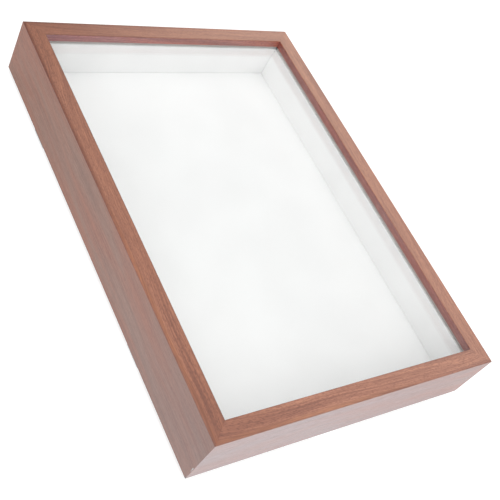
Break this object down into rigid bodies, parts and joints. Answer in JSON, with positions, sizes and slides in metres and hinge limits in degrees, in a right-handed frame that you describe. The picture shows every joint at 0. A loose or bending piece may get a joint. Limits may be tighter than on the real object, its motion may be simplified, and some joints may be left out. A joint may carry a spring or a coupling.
{
  "type": "butterfly display case",
  "caption": "Deep rectangular shadow-box frame for pinned butterflies: mitred wood moulding, glass front, white lining, pinning foam and a removable back held by turn buttons.",
  "frame": {"origin": "middle of the case on the surface it lies on, under the screw heads of its back", "axes": "+Z out through the glass, +Y up the long side towards the top rail, +X across the short side to the right rail"},
  "size_m": [0.224, 0.313, 0.0448],
  "materials": {
    "walnut_moulding": "satin reddish-brown walnut",
    "blued_steel": "plain",
    "grey_glazing_tape": "matt",
    "clear_glass": "clear polished",
    "white_spacer_board": "smooth white",
    "white_pinning_foam": "matt white foam",
    "mdf_back": "smooth brown MDF",
    "zinc_turn_buttons": "zinc plated",
    "zinc_screws": "zinc plated",
    "brass_plated_steel": "brass plated",
    "brass_plated_nails": "brass plated"
  },
  "bodies": {
    "frame": {"rail_bottom": "walnut_moulding", "rail_right": "walnut_moulding", "rail_top": "walnut_moulding", "rail_left": "walnut_moulding", "corner_v_nails": "blued_steel", "glazing_tape_bottom": "grey_glazing_tape", "glazing_tape_right": "grey_glazing_tape", "glazing_tape_top": "grey_glazing_tape", "glazing_tape_left": "grey_glazing_tape", "glass_pane": "clear_glass", "spacer_bottom": "white_spacer_board", "spacer_right": "white_spacer_board", "spacer_top": "white_spacer_board", "spacer_left": "white_spacer_board", "turn_button_screws": "zinc_screws"},
    "removable_back": {"back_panel": "mdf_back", "pinning_foam": "white_pinning_foam", "sawtooth_hanger_portrait": "brass_plated_steel", "sawtooth_hanger_landscape": "brass_plated_steel", "hanger_nails": "brass_plated_nails"},
    "turn_button_bottom": {"turn_button_bottom": "zinc_turn_buttons"},
    "turn_button_right_lower": {"turn_button_right_lower": "zinc_turn_buttons"},
    "turn_button_right_upper": {"turn_button_right_upper": "zinc_turn_buttons"},
    "turn_button_top": {"turn_button_top": "zinc_turn_buttons"},
    "turn_button_left_upper": {"turn_button_left_upper": "zinc_turn_buttons"},
    "turn_button_left_lower": {"turn_button_left_lower": "zinc_turn_buttons"}
  },
  "joints": [
    {"name": "back_lift_off", "type": "slide", "parent": "frame", "child": "removable_back", "axis": [0, 0, -1], "range_m": [0, 0.06]},
    {"name": "turn_button_bottom_swing", "type": "hinge", "parent": "frame", "child": "turn_button_bottom", "pos_m": [0, -0.15315, 0.00225], "axis": [0, 0, 1], "range_deg": [-90, 0]},
    {"name": "turn_button_right_lower_swing", "type": "hinge", "parent": "frame", "child": "turn_button_right_lower", "pos_m": [0.10865, -0.08451, 0.00225], "axis": [0, 0, 1], "range_deg": [-90, 0]},
    {"name": "turn_button_right_upper_swing", "type": "hinge", "parent": "frame", "child": "turn_button_right_upper", "pos_m": [0.10865, 0.08451, 0.00225], "axis": [0, 0, 1], "range_deg": [-90, 0]},
    {"name": "turn_button_top_swing", "type": "hinge", "parent": "frame", "child": "turn_button_top", "pos_m": [0, 0.15315, 0.00225], "axis": [0, 0, 1], "range_deg": [-90, 0]},
    {"name": "turn_button_left_upper_swing", "type": "hinge", "parent": "frame", "child": "turn_button_left_upper", "pos_m": [-0.10865, 0.08451, 0.00225], "axis": [0, 0, 1], "range_deg": [-90, 0]},
    {"name": "turn_button_left_lower_swing", "type": "hinge", "parent": "frame", "child": "turn_button_left_lower", "pos_m": [-0.10865, -0.08451, 0.00225], "axis": [0, 0, 1], "range_deg": [-90, 0]}
  ]
}
